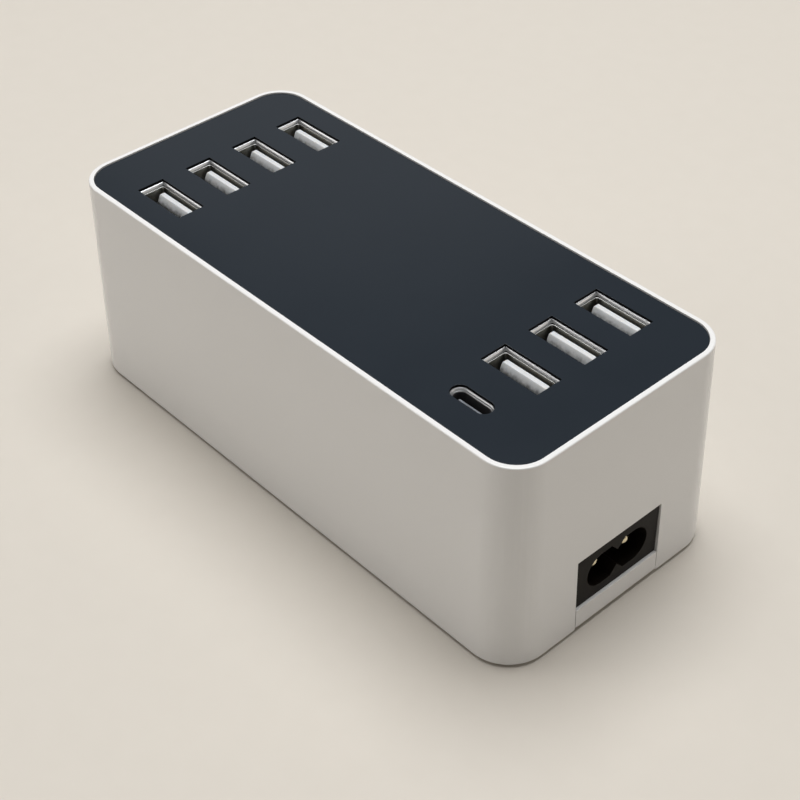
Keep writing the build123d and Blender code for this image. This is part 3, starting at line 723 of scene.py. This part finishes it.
# %% Steel plate in the oval tongue
plate_shape = bmesh.new()
skin(plate_shape, [
    rounded_loop(3.10, 0.17, 0.10, blade_bottom + 3.2, blade),
    rounded_loop(3.10, 0.17, 0.10, blade_top - 0.02, blade),
    rounded_loop(3.08, 0.15, 0.08, blade_top, blade),
])
plate_steel = Finish("bare_steel")
rolled = plate_steel.noise(0.2 * mm, 2.0, (10.0, 1.0, 1.0))
grey = plate_steel.mix(rolled, (0.22, 0.235, 0.26), (0.29, 0.305, 0.335))
plate_steel.surface({"Base Color": grey, "Metallic": 1.0, "Roughness": 0.30 + 0.10 * rolled})
tongue_plate = add_piece("oval_tongue_plate", plate_shape, "socket_metal")
tongue_plate.data.materials[0] = plate_steel.material
print("oval tongue: steel plate inside")

# %% Contacts of the oval socket
strip_shape = bmesh.new()
strip_bottom = oval_bottom + 3.0
strip_top = blade_top - 1.2
strip_count = 6
strip_pitch = 0.9
strip_stand_off = 0.40
for place in range(strip_count):
    across = oval.x + strip_pitch * (place - (strip_count - 1) / 2)
    for side in (-1, 1):
        spot = (across, oval.y + side * strip_stand_off)
        skin(strip_shape, [
            rounded_loop(0.175, 0.05, 0.04, strip_bottom, spot, 2),
            rounded_loop(0.175, 0.05, 0.04, strip_top - 0.15, spot, 2),
            rounded_loop(0.12, 0.02, 0.015, strip_top, spot, 2),
        ])
add_piece("oval_contacts", strip_shape, "contact_gold", "usb_c_contacts")
print("oval contacts: 12 strips")

# %% [markdown]
# ## Inlet pins and feet
# The pins are turned from rod: a plain shank and a smooth dome that guides the connector. Behind the
# inlet each one carries a flat tail down to the board. The feet are turned shapes too, as their mould
# is: a round edge, a shallow groove that keeps the foot from skidding, and a flat back that is glued
# over the screw.

# %% Turned pieces
def circle(radius, centre, level, axis, steps):
    """A circle of the lathe at one level along its axis, which is x or z."""
    loop = []
    for step in range(steps):
        angle = math.tau * step / steps
        across, up = radius * math.cos(angle), radius * math.sin(angle)
        if axis == "x":
            loop.append(Vector((level, centre.y + across, centre.z + up)))
        else:
            loop.append(Vector((centre.x + across, centre.y + up, level)))
    return loop


def turned(shape, profile, centre, axis, steps=48):
    skin(shape, [circle(radius, centre, level, axis, steps) for radius, level in profile])


pin_radius = 1.2
pin_dome = 1.0
dome_steps = 12
point_radius = 0.05
tail_half_depth = 0.5
tail_half_width = 1.2
tail_corner = 0.2
for side in ("left", "right"):
    node = f"inlet_pin_{side}"
    low, high = (Vector(corner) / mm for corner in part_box(node))
    pin_axis = Vector((0.0, (low.y + high.y) / 2, high.z - pin_radius))
    tip = high.x
    profile = [(pin_radius, low.x + tail_half_depth)]
    for step in range(dome_steps):
        angle = math.radians(90 / dome_steps * step)
        profile.append((pin_radius * math.cos(angle), tip - pin_dome * (1 - math.sin(angle))))
    profile.append((point_radius, tip))
    pin_shape = bmesh.new()
    turned(pin_shape, profile, pin_axis, "x")
    tail = (low.x + tail_half_depth, pin_axis.y)
    skin(pin_shape, [
        rounded_loop(tail_half_depth, tail_half_width, tail_corner, height, tail)
        for height in (low.z, pin_axis.z)
    ])
    add_piece(f"turned_pin_{side}", pin_shape, "inlet_pin", node)

foot_profile = [
    (0.30, 0.06), (3.10, 0.06), (3.30, 0.14), (3.50, 0.14), (3.70, 0.03), (4.30, 0.00), (4.62, 0.05),
    (4.86, 0.19), (5.00, 0.45), (5.00, 1.05), (4.88, 1.20),
]
foot_thickness = 1.20
foot_nodes = [name for name in solids if slot_of[name] == "rubber"]
for node in foot_nodes:
    centre, _, bottom, top = box_of(node)
    profile = [(radius, bottom + level * top / foot_thickness) for radius, level in foot_profile]
    foot_shape = bmesh.new()
    turned(foot_shape, profile, centre, "z", 64)
    add_piece(node.replace("rubber", "turned"), foot_shape, "rubber", node)
print("turned pieces: 2 pins and", len(foot_nodes), "feet")

# %% [markdown]
# ## Floor and light
# The charger stands on a plain pale floor. A large soft lamp overhead does most of the work, because
# the top edges of the real one are the brightest. Two weaker lamps stand to the left and to the right,
# so that the two walls in view are an even grey and the corner between them, which faces neither lamp,
# is a little darker. A low lamp at the back gives the far end of the dark panel its paler sheen. The
# lamps fade with distance, so the floor glows a little more the farther it is. Only the eye and
# reflections see that glow; it lights nothing.

# %% Floor
floor_finish = Finish("pale_floor")
paper = floor_finish.noise(6 * mm, 4.0)
pale = floor_finish.mix(paper, (0.625, 0.580, 0.515), (0.645, 0.600, 0.535))
place = floor_finish.add("TexCoord", out="Object")
distance = floor_finish.add("VectorMath", {"operation": "LENGTH"}, {0: place}, out="Value")
far_away = floor_finish.ramp(0.5 * distance, 0.12, 0.68)
looked_at = floor_finish.add("LightPath", out="Is Camera Ray")
for ray in ("Is Glossy Ray", "Is Transmission Ray"):
    looked_at = looked_at + floor_finish.add("LightPath", out=ray)
glow = floor_finish.mix(far_away * looked_at, (0.0, 0.0, 0.0), (0.70, 0.645, 0.565))
floor_finish.surface({
    "Base Color": pale,
    "Roughness": 0.80,
    "Emission Color": glow,
    "Emission Strength": 1.0,
})
floor_shape = bmesh.new()
bmesh.ops.create_circle(floor_shape, cap_ends=True, segments=96, radius=20.0)
floor_mesh = bpy.data.meshes.new("floor")
floor_shape.to_mesh(floor_mesh)
floor_shape.free()
floor_mesh.materials.append(floor_finish.material)
floor = bpy.data.objects.new("floor", floor_mesh)
bpy.context.scene.collection.objects.link(floor)
print("floor in place")

# %% Lamps and surroundings
def soft_lamp(name, place, aim, size, watts, colour):
    lamp = bpy.data.lights.new(name, "AREA")
    lamp.shape = "DISK"
    lamp.size = size
    lamp.energy = watts
    lamp.color = colour
    holder = bpy.data.objects.new(name, lamp)
    holder.location = place
    holder.rotation_euler = (Vector(aim) - Vector(place)).to_track_quat("-Z", "Y").to_euler()
    bpy.context.scene.collection.objects.link(holder)


middle = (cad_box[0] + cad_box[1]) / 2
soft_lamp("overhead", (-0.10, 0.15, 1.00), middle, 0.8, 10.6, (0.975, 0.987, 1.0))
soft_lamp("left", (-0.80, -0.75, 0.50), middle, 0.6, 2.2, (1.0, 0.97, 0.94))
soft_lamp("right", (0.75, 0.80, 0.50), middle, 0.6, 1.1, (1.0, 0.93, 0.85))
soft_lamp("back", (-0.82, 0.70, 0.50), middle, 0.6, 0.18, (0.96, 0.98, 1.0))
world = bpy.data.worlds.new("studio")
world.use_nodes = True
world.node_tree.nodes["Background"].inputs["Color"].default_value = (1.0, 0.97, 0.93, 1.0)
world.node_tree.nodes["Background"].inputs["Strength"].default_value = 0.19
bpy.context.scene.world = world
print("four soft lamps and an even studio")

# %% [markdown]
# ## Camera
# A picture of a real thing hides its camera, but the edges of the case give it away: lines that run
# together fix the lens, and the sockets' known size fixes the distance. The values below came from such
# a fit.

# %% Camera
camera_place = Vector((198.63, -173.63, 232.28)) * mm
camera_aim = Vector((14.26, -8.49, 24.00)) * mm
camera_roll = math.radians(0.99)
view = bpy.data.cameras.new("view")
view.lens = 74.09
view.sensor_width = 36.0
camera = bpy.data.objects.new("view", view)
camera.location = camera_place
turn = (camera_aim - camera_place).to_track_quat("-Z", "Y") @ Quaternion((0, 0, 1), -camera_roll)
camera.rotation_euler = turn.to_euler()
bpy.context.scene.collection.objects.link(camera)
bpy.context.scene.camera = camera
bpy.context.scene.view_settings.view_transform = "Standard"
print("camera distance:", round((camera_place - camera_aim).length, 3), "m")
